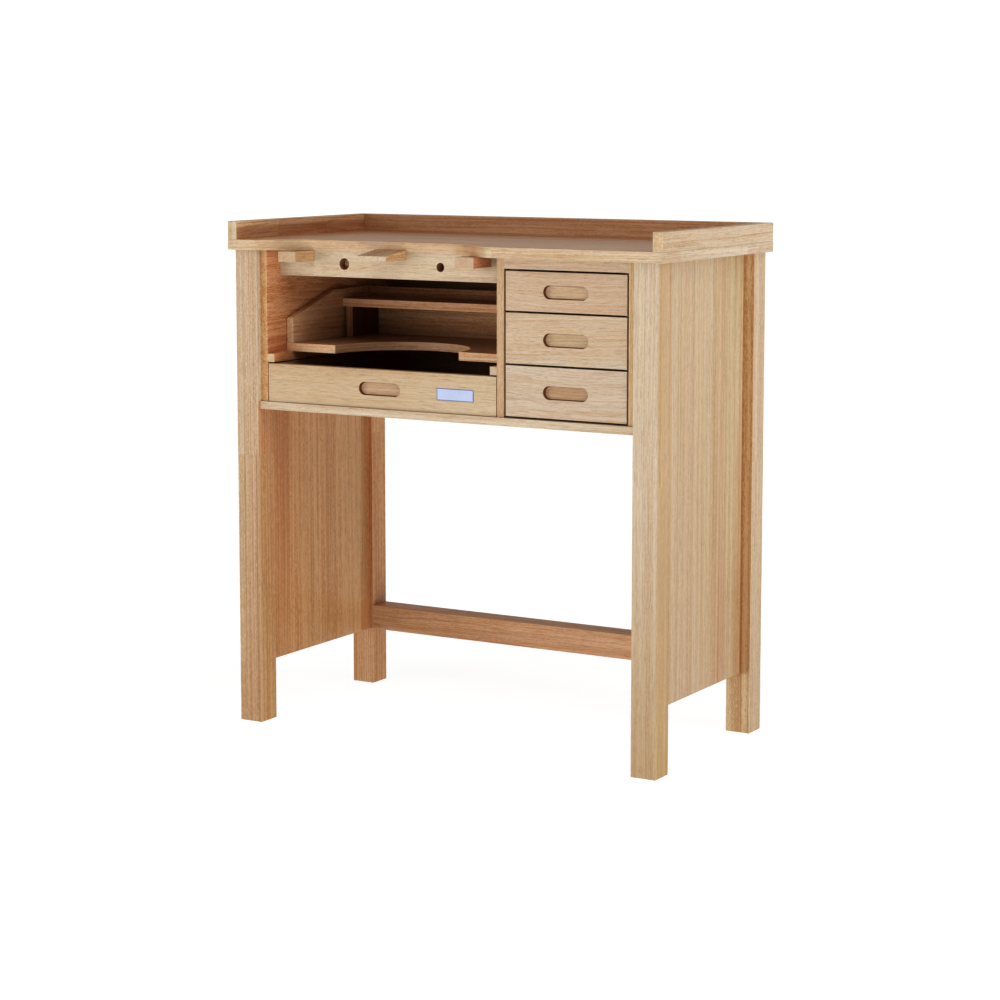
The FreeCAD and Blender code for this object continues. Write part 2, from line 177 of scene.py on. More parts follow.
def wood(name, grain, across, base, seed=0, stave=0.0, seg=0.0, figure=0.35,
         contrast=1.0, tint=0.5, edge=0.0, rough=0.42, top=None, bands=(),
         drift=None, joint=None, coarse=1.0, wave=0.006, run=1.0, fine=1.0,
         speck=1.0, lip=None, rind=None, bores=(), calm=(), raw=None):
    """Solid lacquered light hardwood, as a texture that fills the board.

    grain and across are row axes: the direction of the fibres, and the width
    in which the board is glued up from staves (stave 0 is one plank). seg is
    the length between end joints in a stave. base is the linear colour. top
    is a (height, colour): above that height the upward faces take that colour,
    painted shading that is darker than base on most boards. bands are
    (axis, from, to, factor, softness) for areas of another tone: some are
    staves, many are painted shade, painted light and painted highlights.
    drift is (axis, from, to, factor): the colour goes slowly from factor to
    plain. joint is (axis, place, factor) for a butt joint with another piece
    below. coarse widens the streaks, wave bends them and run shortens them;
    fine and speck are the strength of the thinnest streaks and of the short
    flecks. lip is the distance from the middle, along the grain, beyond which
    the board ends in a lipping whose own grain runs across. rind is (low,
    high): between these heights the streaks follow the outline of the board.
    bores are (x, z, radius) of holes along y, with painted shade on their
    walls and a painted highlight in a ring round each. calm is (axis, from,
    to, part): there only that part of the contrast is left. raw is (axis,
    from, to) where the wood is matt, without lacquer, or "all". edge pulls
    the whole colour towards a lighter tone: a painted highlight for the copy
    of the wood that goes on the softened edges. A band may end in (axis,
    from, to, softness) tuples, which keep it to that part of the board."""
    t = Tree(name)
    rnd = random.Random(seed * 7919 + 13)
    o = t.separate(t.node("ShaderNodeTexCoord").outputs["Object"])
    third = ({"x", "y", "z"} - {grain, across}).pop()
    g, a, c = o[AX[grain]], o[AX[across]], o[AX[third]]
    if lip is not None:
        ends = t.spread(t.math("ABSOLUTE", g), lip - 0.0002, lip + 0.0002)
        d = t.math("SUBTRACT", a, g)
        g, a = (t.math("MULTIPLY_ADD", ends, d, g),
                t.math("SUBTRACT", a, t.math("MULTIPLY", ends, d)))
    if rind is not None:
        a = t.math("MULTIPLY", a, t.math("MAXIMUM",
                   t.spread(o[2], rind[0] - 0.0002, rind[0] + 0.0002, 1.0, 0.0),
                   t.spread(o[2], rind[1] - 0.0002, rind[1] + 0.0002)))
    g = t.math("ADD", g, rnd.uniform(1, 40))
    a = t.math("ADD", a, rnd.uniform(1, 40))
    c = t.math("ADD", c, rnd.uniform(1, 40))
    plain = t.combine(g, a, c)
    if joint is not None:
        below = t.spread(o[AX[joint[0]]], joint[1] - 0.0004, joint[1] + 0.0004,
                         1.0, 0.0)
        a = t.math("MULTIPLY_ADD", below, 7.31, a)
    p = t.combine(g, a, c)
    pr = None
    if stave > 0:
        k = t.math("DIVIDE", a, stave)
        k = t.math("ADD", k, t.math("MULTIPLY", t.noise(
            t.combine(t.math("FLOOR", k), 0.0, 0.0), (0.73, 1, 1), 0.0), 0.5))
        idx = t.math("FLOOR", k)
        j = 0.0
        if seg > 0:
            w0 = t.node("ShaderNodeTexWhiteNoise", noise_dimensions="1D")
            t.put(w0.inputs["W"], t.math("ADD", idx, 0.5 + seed))
            j = t.math("FLOOR", t.math("ADD", t.math("DIVIDE", g, seg),
                                       w0.outputs["Value"]))
        wn = t.node("ShaderNodeTexWhiteNoise", noise_dimensions="3D")
        t.put(wn.inputs["Vector"], t.combine(t.math("ADD", idx, 0.5), j, 0.37 + seed))
        p = t.vec("ADD", p, t.vec("SCALE", wn.outputs["Color"], 9.0))
        pr = t.separate(wn.outputs["Color"])
    # the fibres wander a little along the board
    warp = t.noise(p, (2.6, 7.0, 7.0), 1.0, color=True)
    warp = t.vec("MULTIPLY", t.vec("SUBTRACT", warp, (0.5, 0.5, 0.5)),
                 (0.0, 2 * wave, 2 * wave))
    p = t.vec("ADD", p, warp)

    q = 1.0 / coarse
    broad = t.noise(plain, (0.5 * run, 26.0 * q, 26.0 * q), 1.0, 0.5)
    streak = t.noise(p, (0.7 * run, 85.0 * q, 85.0 * q), 2.0, 0.6)
    line = t.noise(p, (0.9 * run, 230.0 * q, 230.0 * q), 1.0, 0.6)
    hair = t.noise(p, (1.6 * run, 520.0 * q, 520.0 * q), 0.0, 0.5)
    fibre = t.noise(p, (150.0, 620.0, 620.0), 1.0, 0.6)
    dash = t.noise(p, (34.0, 1400.0, 1400.0), 0.0, 0.5)
    # growth rings cut at a flat angle: contour lines of a long slow noise
    slow = t.noise(p, (1.3, 11.0, 11.0), 1.0, 0.4)
    ring = t.math("FRACT", t.math("MULTIPLY", slow, 15.0))
    ring = t.math("POWER", ring, 2.6)
    mask = t.spread(t.noise(p, (0.8, 4.0, 4.0), 0.0), 0.38, 0.60, 0.1, 1.0)
    ring = t.math("MULTIPLY", t.math("SUBTRACT", ring, 0.28), mask)

    v = 0.5
    for layer, power in ((broad, 0.50), (streak, 0.80), (line, 0.95),
                         (hair, 0.85 * fine), (fibre, 1.05 * speck)):
        v = t.math("MULTIPLY_ADD", t.math("SUBTRACT", layer, 0.5),
                   power * contrast, v)
    v = t.math("MULTIPLY_ADD", ring, 0.40 * figure * contrast, v)
    if pr is not None:
        v = t.math("MULTIPLY_ADD", t.math("SUBTRACT", pr[0], 0.5), 0.24 * contrast, v)

    for axis, b0, b1, part in calm:
        inside = t.math("MULTIPLY", t.spread(o[AX[axis]], b0 - 0.0003, b0 + 0.0003),
                        t.spread(o[AX[axis]], b1 - 0.0003, b1 + 0.0003, 1.0, 0.0))
        v = t.math("MULTIPLY_ADD", t.math("SUBTRACT", v, 0.5), t.math(
            "SUBTRACT", 1.0, t.math("MULTIPLY", inside, 1.0 - part)), 0.5)

    def tones(colour):
        return t.ramp(v, [(0.0, scaled(colour, (1.11, 1.19, 1.29))),
                          (0.5, scaled(colour, (1, 1, 1))),
                          (1.0, scaled(colour, (0.87, 0.70, 0.52)))])

    col = tones(base)
    # painted shading: above the given height the upward faces take their own colour
    if top is not None:
        above = t.spread(o[2], top[0] - 0.0004, top[0], 0.0, 1.0)
        col = t.mix(above, col, tones(top[1]))
    for band in bands:
        axis, b0, b1, factor = band[:4]
        soft = band[4] if len(band) > 4 else 0.0004
        w = o[AX[axis]]
        inside = t.math("MULTIPLY", t.spread(w, b0 - soft, b0 + soft),
                        t.spread(w, b1 - soft, b1 + soft, 1.0, 0.0))
        for w, b0, b1, soft in band[5:]:
            w = o[AX[w]]
            inside = t.math("MULTIPLY", inside, t.math(
                "MULTIPLY", t.spread(w, b0 - soft, b0 + soft),
                t.spread(w, b1 - soft, b1 + soft, 1.0, 0.0)))
        col = t.mix(inside, col, t.mix(1.0, col, factor + (1.0,), "MULTIPLY"))
    if drift is not None:
        axis, d0, d1, factor = drift
        col = t.mix(t.spread(o[AX[axis]], d0, d1, 1.0, 0.0), col,
                    t.mix(1.0, col, factor + (1.0,), "MULTIPLY"))
    # painted shade on the wall of each hole and a painted highlight in a ring round it
    for bx, bz, radius in bores:
        far = t.math("SQRT", t.math("ADD", t.math("POWER", t.math(
            "SUBTRACT", o[0], bx), 2.0), t.math("POWER", t.math(
                "SUBTRACT", o[2], bz), 2.0)))
        bore_highlight = t.spread(far, radius + 0.0014, radius + 0.0030, 0.8, 0.0)
        col = t.mix(bore_highlight, col, t.mix(1.0, col, (1.12, 1.17, 1.26, 1.0), "MULTIPLY"))
        bore_shade = t.spread(far, radius + 0.0002, radius + 0.0008, 1.0, 0.0)
        col = t.mix(bore_shade, col, t.mix(1.0, col, (0.60, 0.36, 0.24, 1.0), "MULTIPLY"))
    if joint is not None:
        col = t.mix(below, col, t.mix(1.0, col, joint[2] + (1.0,), "MULTIPLY"))
    # slow drifts of hue: pinkish in broad stripes, golden or grey in thin ones
    hue = t.noise(plain, (0.5 * run, 34.0 * q, 34.0 * q), 1.0)
    if pr is not None:
        hue = t.math("MULTIPLY_ADD", t.math("SUBTRACT", pr[1], 0.5), 0.20, hue)
    col = t.mix(t.spread(hue, 0.50, 0.72, 0.0, tint), col,
                t.mix(1.0, col, (1.00, 0.93, 0.92, 1.0), "MULTIPLY"))
    gold = t.noise(p, (0.8 * run, 130.0 * q, 130.0 * q), 2.0, 0.6)
    col = t.mix(t.spread(gold, 0.50, 0.74, 0.0, tint), col,
                t.mix(1.0, col, (1.01, 0.97, 0.78, 1.0), "MULTIPLY"))
    col = t.mix(t.spread(gold, 0.50, 0.26, 0.0, tint), col,
                t.mix(1.0, col, (0.99, 0.99, 1.07, 1.0), "MULTIPLY"))
    # pores: short dark dashes along the grain
    pore = t.spread(dash, 0.60, 0.72, 0.0, 0.45)
    col = t.mix(pore, col, scaled(base, (0.45, 0.34, 0.26)))
    # painted highlight: this copy, for the softened edges, is pulled towards a lighter tone all over
    if edge:
        col = t.mix(edge, col, scaled(base, (1.22, 1.30, 1.42)))
    r = t.spread(streak, 0.3, 0.7, rough - 0.05, rough + 0.09)
    h = t.math("MULTIPLY_ADD", fibre, 0.5, t.math("MULTIPLY", line, 0.6))
    h = t.math("SUBTRACT", h, t.math("MULTIPLY", pore, 1.2))
    b = t.node("ShaderNodeBump")
    b.inputs["Strength"].default_value = 0.14
    b.inputs["Distance"].default_value = 0.0006
    t.put(b.inputs["Height"], h)
    if raw not in (None, "all"):
        w = o[AX[raw[0]]]
        matt = t.math("MULTIPLY", t.spread(w, raw[1] - 0.0003, raw[1] + 0.0003),
                      t.spread(w, raw[2] - 0.0003, raw[2] + 0.0003, 1.0, 0.0))
        r = t.math("MAXIMUM", r, t.math("MULTIPLY", matt, 0.97))
    return t.finish(Base_Color=col, Roughness=r, Normal=b.outputs[0],
                    Specular_IOR_Level=0.04 if raw == "all" else 0.38)


# ------------------------------------------------- which board is cut which way
PALE = (0.640, 0.485, 0.325)
FRONT = (0.620, 0.471, 0.322)
WARM = (0.620, 0.420, 0.244)

# node: (grain, across, colour, stave, segment, figure, contrast, tint)
# painted shade in base colours: case_panel_left, side_panel_left, rear_stretcher, the tray runners,
# tray_back and the tray uprights are darker and redder than the plain wood, for faces that lie deep in
# the bay and the knee space
BOARDS = {
    "worktop": ("x", "y", (0.690, 0.564, 0.408), 0.060, 0.9, 0.5, 0.9, 0.5),
    "gallery_left": ("y", "z", (0.62, 0.42, 0.25), 0, 0, 1.0, 2.6, 0.4),
    "gallery_right": ("y", "z", (0.651, 0.493, 0.319), 0, 0, 0.6, 1.1, 0.6),
    "gallery_back": ("x", "z", (0.62, 0.42, 0.25), 0, 0, 0.5, 2.0, 0.4),
    "rear_stretcher": ("x", "z", (0.559, 0.334, 0.185), 0, 0, 0.8, 1.6, 0.5),
    "side_panel_left": ("z", "y", (0.685, 0.398, 0.190), 0.060, 0, 0.1, 1.9, 0.4),
    "side_panel_right": ("z", "y", (0.653, 0.504, 0.318), 0.060, 0, 0.1, 1.0, 0.6),
    "bottom_board": ("x", "y", (0.625, 0.500, 0.355), 0, 0, 0.3, 0.8, 0.4),
    "case_panel_left": ("y", "z", (0.713, 0.346, 0.160), 0, 0, 1.4, 2.0, 0.5),
    "case_panel_right": ("z", "y", (0.649, 0.452, 0.252), 0, 0, 0.1, 1.2, 0.4),
    "divider_panel": ("z", "y", (0.592, 0.411, 0.252), 0, 0, 0.1, 1.2, 0.4),
    "case_back_panel": ("x", "z", WARM, 0.080, 0, 0.5, 1.0, 0.5),
    "drawer_top_rail": ("x", "z", (0.626, 0.485, 0.345), 0, 0, 0.2, 0.7, 0.5),
    "pin_rail": ("x", "z", (0.617, 0.488, 0.333), 0, 0, 0.4, 0.65, 0.25),
    "tray_runner_left": ("y", "z", (0.770, 0.377, 0.177), 0, 0, 0.3, 1.0, 0.4),
    "tray_runner_right": ("y", "z", (0.620, 0.345, 0.180), 0, 0, 0.3, 1.0, 0.4),
    "drawer_runners": ("y", "z", WARM, 0, 0, 0.3, 1.0, 0.4),
    "drawer_guide_slips": ("y", "z", WARM, 0, 0, 0.3, 1.0, 0.4),
    "drawer_stops": ("x", "z", WARM, 0, 0, 0.3, 1.0, 0.4),
    "arm_rest_guide_left": ("x", "z", WARM, 0, 0, 0.3, 1.0, 0.4),
    "arm_rest_guide_right": ("x", "z", WARM, 0, 0, 0.3, 1.0, 0.4),
    "tray_board": ("x", "y", (0.775, 0.490, 0.281), 0, 0, 0.4, 1.4, 0.5),
    "tray_side_left": ("y", "z", (0.775, 0.462, 0.268), 0, 0, 0.4, 1.5, 0.5),
    "tray_side_right": ("y", "z", (0.775, 0.470, 0.268), 0, 0, 0.4, 1.5, 0.5),
    "tray_back": ("x", "z", (0.521, 0.292, 0.158), 0, 0, 0.5, 2.0, 0.5),
    "tray_upper_shelf": ("x", "y", (0.805, 0.488, 0.278), 0, 0, 0.4, 1.6, 0.5),
    "tray_upright_left": ("z", "y", (0.524, 0.287, 0.169), 0, 0, 0.2, 1.4, 0.5),
    "tray_upright_right": ("z", "y", (0.524, 0.287, 0.169), 0, 0, 0.2, 1.4, 0.5),
    "catch_drawer_front": ("x", "z", (0.586, 0.439, 0.275), 0, 0, 0.4, 0.55, 0.3),
    "drawer_top_front": ("x", "z", (0.602, 0.454, 0.318), 0, 0, 0.5, 0.62, 0.3),
    "drawer_middle_front": ("x", "z", (0.614, 0.475, 0.328), 0, 0, 1.0, 0.75, 0.3),
    "drawer_bottom_front": ("x", "z", (0.612, 0.494, 0.373), 0, 0, 0.5, 0.62, 0.3),
    "arm_rest_left": ("y", "x", (0.614, 0.399, 0.211), 0, 0, 0.8, 1.8, 0.4),
    "arm_rest_right": ("y", "x", (0.64, 0.375, 0.215), 0, 0, 0.8, 1.8, 0.4),
    "bench_pin": ("y", "x", (0.645, 0.420, 0.227), 0, 0, 1.0, 2.8, 0.3),
    "worktop_dowels": ("z", "x", WARM, 0, 0, 0.1, 1.0, 0.2),
    "arm_rest_peg_left": ("z", "x", WARM, 0, 0, 0.1, 1.0, 0.2),
    "arm_rest_peg_right": ("z", "x", WARM, 0, 0, 0.1, 1.0, 0.2),
    "leg_front_left": ("z", "x", (0.584, 0.445, 0.303), 0, 0, 0.1, 1.45, 0.45),
    "leg_front_right": ("z", "x", (0.632, 0.519, 0.383), 0, 0, 0.1, 0.85, 0.5),
    "leg_rear_left": ("z", "x", (0.62, 0.42, 0.26), 0, 0, 0.1, 1.5, 0.4),
    "leg_rear_right": ("z", "x", (0.645, 0.485, 0.312), 0, 0, 0.1, 1.8, 0.4),
}
for d in ("catch_drawer", "drawer_top", "drawer_middle", "drawer_bottom"):
    BOARDS[d + "_side_left"] = ("y", "z", PALE, 0, 0, 0.4, 0.9, 0.4)
    BOARDS[d + "_side_right"] = ("y", "z", PALE, 0, 0, 0.4, 0.9, 0.4)
    BOARDS[d + "_back"] = ("x", "z", PALE, 0, 0, 0.4, 0.9, 0.4)
    BOARDS[d + "_bottom"] = ("x", "y", PALE, 0, 0, 0.8, 0.7, 0.3)
# the deep drawer's inside boards get darker colours: painted shade for its dark inside
for d, colour in (("side_left", (0.430, 0.262, 0.145)), ("back", (0.350, 0.200, 0.105)),
                  ("side_right", (0.430, 0.262, 0.145)), ("bottom", (0.250, 0.128, 0.064))):
    BOARDS["catch_drawer_" + d] = BOARDS["catch_drawer_" + d][:2] + (
        colour,) + BOARDS["catch_drawer_" + d][3:]


# darker tone of a drawer front behind its face: partly its unlacquered wood, partly painted shade in the
# gaps and the recess
RIM_TONE_AND_SHADE = (0.82, 0.68, 0.56)


def recess(x, z, floor):
    """Tones of a drawer front behind its face: darker edges, partly unlacquered wood and partly painted
    shade, and a finger recess with its middle at (x, z) whose walls carry painted shade and whose floor
    takes the given tone, partly painted shade."""
    part = (("x", x - 0.0485, x + 0.0485, 0.0004), ("z", z - 0.0145, z + 0.0145, 0.0004))
    floor = tuple(f / e for f, e in zip(floor, RIM_TONE_AND_SHADE))
    return (("y", -0.2088, 0.0000, RIM_TONE_AND_SHADE, 0.0003),
            # painted shade on the walls of the recess
            ("y", -0.2090, -0.2015, (0.41, 0.21, 0.13), 0.0006) + part,
            ("y", -0.2015, -0.1990, floor, 0.0008) + part)


# what sets a single board apart: bands of another tone (some are staves, many are painted shade, painted
# light and painted highlights), a butt joint in the leg, a colour that drifts along the board
EXTRA = {
    "worktop": dict(
        top=(0.9488, (0.690, 0.418, 0.238)), run=1.4, lip=0.4690,
        rind=(0.9295, 0.9487), bands=(
            # painted shade on the curved wall of the cut-out, strongest at its right end and on its
            # upper part
            ("x", 0.0040, 0.0420, (0.92, 0.81, 0.69), 0.0100,
             ("z", 0.9290, 0.9487, 0.0003), ("y", -0.2400, -0.1500, 0.0004)),
            ("x", 0.0560, 0.1040, (0.96, 0.92, 0.86), 0.0140,
             ("z", 0.9290, 0.9487, 0.0003), ("y", -0.2400, -0.1500, 0.0004)),
            ("x", 0.0450, 0.0780, (0.96, 0.79, 0.67), 0.0140,
             ("z", 0.9292, 0.9487, 0.0002), ("y", -0.2400, -0.1600, 0.0004)),
            ("y", -0.2400, -0.2285, (0.95, 0.92, 0.87), 0.0004,
             ("z", 0.9292, 0.9487, 0.0002)),
            ("y", -0.2285, -0.1600, (0.96, 0.89, 0.82), 0.0004,
             ("z", 0.9292, 0.9487, 0.0002)),
            ("x", -0.3100, 0.0100, (0.95, 0.91, 0.87), 0.0100,
             ("z", 0.9380, 0.9487, 0.0010), ("y", -0.2285, -0.1600, 0.0004)),
            # on the upward face: painted light towards the front and painted shade towards the back
            # gallery
            ("y", -0.2400, -0.0600, (1.05, 1.06, 1.06), 0.0400,
             ("z", 0.9488, 0.9600, 0.0002)),
            ("y", 0.0600, 0.2400, (0.91, 0.80, 0.71), 0.0500,
             ("z", 0.9488, 0.9600, 0.0002)),
            ("y", 0.1550, 0.2400, (0.95, 0.89, 0.86), 0.0300,
             ("z", 0.9488, 0.9600, 0.0002)))),
    "gallery_left": dict(
        wave=0.014, run=1.5, calm=(("y", -0.2330, -0.2300, 0.3),), bands=(
            # inner face: darker and redder as painted shade, with a painted highlight along its upper
            # edge and painted light towards its front end
            ("x", -0.4600, -0.4400, (0.84, 0.64, 0.55)),
            ("x", -0.4600, -0.4400, (0.88, 0.80, 0.76), 0.0004,
             ("z", 0.9570, 0.9690, 0.0040), ("y", -0.2296, 0.3000, 0.0004)),
            ("x", -0.4600, -0.4400, (1.26, 1.55, 1.62), 0.0004,
             ("z", 0.9740, 0.9900, 0.0030), ("y", -0.2296, 0.3000, 0.0004)),
            ("x", -0.4600, -0.4400, (1.08, 1.16, 1.18), 0.0004,
             ("y", -0.2296, -0.0900, 0.0004)),
            ("y", -0.2320, -0.2300, (1.20, 1.92, 2.75), 0.0004,
             ("x", -0.4600, -0.4400, 0.0004)),
            ("y", -0.2320, -0.2300, (0.92, 1.07, 1.06), 0.0004,
             ("x", -0.4800, -0.4600, 0.0004)))),
    "gallery_back": dict(run=1.5, bands=(
        # painted shade on the front part of the back gallery with its inner face, and a painted contact
        # shade along its joint with the worktop
        ("y", 0.2100, 0.2355, (0.85, 0.69, 0.57)),
        ("z", 0.9470, 0.9512, (0.78, 0.68, 0.62), 0.001),)),
    "gallery_right": dict(run=1.5),
    "rear_stretcher": dict(
        run=1.8, wave=0.010, top=(0.1662, (0.765, 0.430, 0.222)), bands=(
            ("z", 0.1000, 0.1310, (0.94, 0.89, 0.84), 0.0050),
            ("z", 0.1440, 0.1660, (1.05, 1.06, 1.06), 0.0040,
             ("x", -0.4500, 0.0200, 0.0600)))),
    "side_panel_left": dict(
        coarse=1.4, wave=0.003, speck=1.3,
        drift=("z", 0.1165, 0.62, (0.90, 0.89, 0.87)), bands=(
            # the outer face is given a paler tone back, as the base colour carries painted shade for the
            # inner face
            ("x", -0.4370, -0.4345, (0.92, 1.15, 1.32)),
            ("y", -0.1880, -0.0980, (0.96, 0.91, 0.85), 0.014),
            ("y", -0.1540, -0.1060, (0.92, 0.81, 0.71), 0.008,
             ("z", 0.2800, 0.9500, 0.1000)),
            ("y", 0.0280, 0.0480, (0.95, 0.92, 0.90), 0.0060),
            ("y", 0.1485, 0.1900, (0.87, 0.75, 0.65), 0.0025),
            ("y", -0.1650, -0.1150, (0.95, 0.925, 0.90), 0.0060),
            ("y", -0.0900, -0.0400, (0.965, 0.93, 0.89), 0.0060),
            ("y", -0.0400, -0.0100, (0.95, 0.94, 0.91), 0.0060,
             ("z", 0.0000, 0.3400, 0.0600)))),
    "side_panel_right": dict(
        coarse=1.4, wave=0.002,
        drift=("z", 0.1165, 0.80, (0.93, 0.89, 0.88)), bands=(
            # painted shade beside the front leg
            ("y", -0.1900, -0.1480, (0.96, 0.90, 0.83), 0.003),
            ("y", 0.0667, 0.0981, (1.00, 0.93, 0.88)),
            ("y", 0.0981, 0.1900, (1.03, 1.06, 1.05)),
            # painted light beside the rear leg, against the shade of its corner
            ("y", 0.1520, 0.1950, (1.04, 1.07, 1.15), 0.014),
            ("y", -0.1900, -0.1650, (1.02, 1.05, 1.12), 0.0030),
            ("y", -0.0400, 0.0200, (0.965, 0.95, 0.925), 0.0050),
            ("y", 0.0200, 0.0500, (1.03, 1.055, 1.10), 0.0050),
            ("y", 0.0830, 0.1080, (0.96, 0.86, 0.85), 0.0080,
             ("z", 0.0000, 0.3600, 0.0800)),
            ("y", 0.1100, 0.1500, (1.06, 1.08, 1.11), 0.0060,
             ("z", 0.3300, 0.9500, 0.0600)),
            ("y", 0.1500, 0.1900, (0.91, 0.83, 0.75), 0.0060,
             ("z", 0.0000, 0.3300, 0.0500)),
            ("y", 0.1500, 0.1900, (1.06, 1.15, 1.26), 0.0060,
             ("z", 0.5800, 0.9500, 0.0800)))),
    "case_panel_left": dict(run=2.0, wave=0.020, raw="all", bands=(
        # the base colour carries painted shade for the bay wall; here the front edge is given a paler
        # tone back and the bay wall is lightened a little
        ("y", -0.2115, -0.2095, (0.86, 1.11, 1.24)),
        ("x", -0.3957, -0.3930, (1.10, 1.16, 1.30)),
        # painted shade on the bay wall just above the tray runner, fading upwards
        ("x", -0.3957, -0.3930, (0.80, 0.71, 0.64), 0.0004,
         ("z", 0.7200, 0.7600, 0.0080), ("y", -0.2090, -0.1400, 0.0030)),
        ("x", -0.3957, -0.3930, (0.95, 0.95, 0.91), 0.0004,
         ("z", 0.7600, 0.8500, 0.0080), ("y", -0.2090, -0.1200, 0.0030)))),
    "case_panel_right": dict(wave=0.002, raw="all", bands=(
        # painted shade on every face behind the front edge
        ("y", -0.2085, 0.3000, (0.88, 0.76, 0.66)),
        ("x", 0.3930, 0.3965, (1.02, 1.04, 1.04)),
        ("x", 0.4020, 0.4040, (0.86, 0.80, 0.74)))),
    "divider_panel": dict(wave=0.002, raw="all", bands=(
        # painted shade on every face behind the front edge
        ("y", -0.2085, 0.3000, (0.88, 0.76, 0.66)),
        ("z", 0.8300, 0.9400, (1.05, 1.08, 1.10), 0.0300,
         ("y", -0.2110, -0.2085, 0.0004)))),
    "drawer_top_rail": dict(run=2.0, raw=("y", -0.2085, 0.3000)),
    "pin_rail": dict(run=2.0, wave=0.012, bores=(
        (-0.2433, 0.9043, 0.0110), (-0.0270, 0.9043, 0.0085)), bands=(
            ("z", 0.8880, 0.9300, (1.03, 1.055, 1.08), 0.0040),
            ("x", 0.0200, 0.1250, (1.09, 1.09, 1.11), 0.0060))),
    "bottom_board": dict(run=2.0, raw=("y", -0.2085, 0.3000)),
    "catch_drawer_front": dict(
        run=2.0, wave=0.012, raw=("y", -0.2085, 0.3000),
        bands=(("x", -0.0400, 0.2000, (1.04, 1.09, 1.15), 0.06),)
        + recess(-0.1360, 0.6730, (1.10, 1.05, 1.11))),
    "drawer_top_front": dict(run=2.5, wave=0.014, raw=("y", -0.2085, 0.3000),
                             bands=recess(0.2650, 0.8691, (1.16, 1.18, 1.15))),
    "drawer_middle_front": dict(run=2.5, wave=0.022, coarse=1.3,
                                raw=("y", -0.2085, 0.3000),
                                bands=(("z", 0.7300, 0.7560, (1.01, 1.08, 1.15), 0.0060,
                                        ("y", -0.2110, -0.2090, 0.0003)),)
                                + recess(0.2650, 0.7823, (1.07, 1.06, 1.03))),
    "drawer_bottom_front": dict(run=2.5, wave=0.016, coarse=1.2,
                                raw=("y", -0.2085, 0.3000),
                                bands=recess(0.2650, 0.6864, (0.99, 0.86, 0.75))),
    "tray_board": dict(run=1.5, rind=(0.7296, 0.7449),
                       top=(0.7453, (0.470, 0.256, 0.138)), bands=(
                   # painted shade on the upward face: its colour is darker, and darker again towards the
                   # back
                   ("y", -0.0500, 0.1400, (0.86, 0.80, 0.78), 0.0300,
                    ("z", 0.7452, 0.7500, 0.0001)),
                   ("z", 0.7280, 0.7370, (1.00, 1.12, 1.22), 0.0020,
                    ("y", -0.1480, -0.1470, 0.0003)))),
    "tray_back": dict(raw="all", bands=(
        # painted light across the middle, painted shade along the lower and upper edges
        ("z", 0.7700, 0.8060, (1.36, 1.48, 1.50), 0.0110),
        ("z", 0.7450, 0.7560, (0.88, 0.87, 0.87), 0.0040),
        ("z", 0.8180, 0.8300, (0.76, 0.68, 0.62), 0.0030))),
    "case_back_panel": dict(bands=(
        # painted shade: the front face is darkened where it shows behind the tray
        ("y", 0.2100, 0.2180, (0.45, 0.34, 0.28)),)),
    # the upper shelf's upward face is much darker: painted shade
    "tray_upper_shelf": dict(raw="all",
                             top=(0.8223, (0.420, 0.205, 0.105))),
    "tray_side_left": dict(bands=(("y", -0.1480, -0.1468, (0.78, 0.94, 1.02)),)),
    "tray_side_right": dict(bands=(("y", -0.1480, -0.1468, (0.78, 0.94, 1.02)),)),
    "tray_runner_left": dict(bands=(
        ("y", -0.2110, -0.2090, (0.82, 1.32, 1.84)),)),
    "tray_runner_right": dict(bands=(
        ("y", -0.2110, -0.2090, (0.92, 1.30, 1.65)),)),
    "tray_upright_left": dict(raw="all", bands=(
        # painted shade on the side face
        ("y", 0.0290, 0.1300, (0.36, 0.26, 0.20), 0.001),)),
    "tray_upright_right": dict(raw="all", bands=(
        # painted shade on the side face
        ("y", 0.0290, 0.1300, (0.36, 0.26, 0.20), 0.001),)),
    "arm_rest_left": dict(calm=(("y", -0.2300, -0.2280, 0.3),), bands=(
        ("y", -0.2290, -0.2275, (0.92, 1.02, 1.16)),)),
    "arm_rest_right": dict(calm=(("y", -0.2300, -0.2280, 0.3),), bands=(
        # painted shade on the right side face
        ("x", 0.0827, 0.0840, (1.07, 0.82, 0.75)),
        ("y", -0.2290, -0.2275, (0.90, 1.11, 1.29)),)),
    # darker upward face of the wedge: painted shade; its front end is made paler again
    "bench_pin": dict(calm=(("y", -0.2380, -0.2362, 0.25),), top=(0.9353, (0.650, 0.370, 0.205)), bands=(
        ("y", -0.2375, -0.2358, (1.01, 1.30, 1.75)),)),
    "leg_front_left": dict(
        wave=0.002, speck=1.3, drift=("z", 0.0, 0.53, (0.88, 0.79, 0.67)),
        joint=("z", 0.530, (0.985, 0.965, 0.93)), bands=(
            ("x", -0.4313, -0.4180, (1.00, 0.95, 0.95), 0.002),
            ("x", -0.4165, -0.4092, (0.86, 0.80, 0.73), 0.0010,
             ("z", -0.1000, 0.5400, 0.0100)),
            ("x", -0.4092, -0.4070, (1.14, 1.26, 1.32), 0.0004,
             ("z", 0.6360, 0.9500, 0.0010)),
            # painted shade: the inner side face in the knee space is darker and redder
            ("x", -0.4092, -0.4070, (1.07, 0.87, 0.65), 0.0004,
             ("z", -0.1000, 0.6360, 0.0010)),
            ("x", -0.4092, -0.4070, (1.06, 1.18, 1.32), 0.0004,
             ("z", -0.1000, 0.2500, 0.0600)),
            ("x", -0.4092, -0.4070, (0.97, 0.84, 0.75), 0.0004,
             ("z", 0.5300, 0.6360, 0.0010)),
            ("x", -0.4600, -0.4450, (1.07, 1.18, 1.29), 0.0030,
             ("z", 0.1200, 0.5300, 0.0200)),
            ("x", -0.4450, -0.4210, (0.94, 0.88, 0.81), 0.0030,
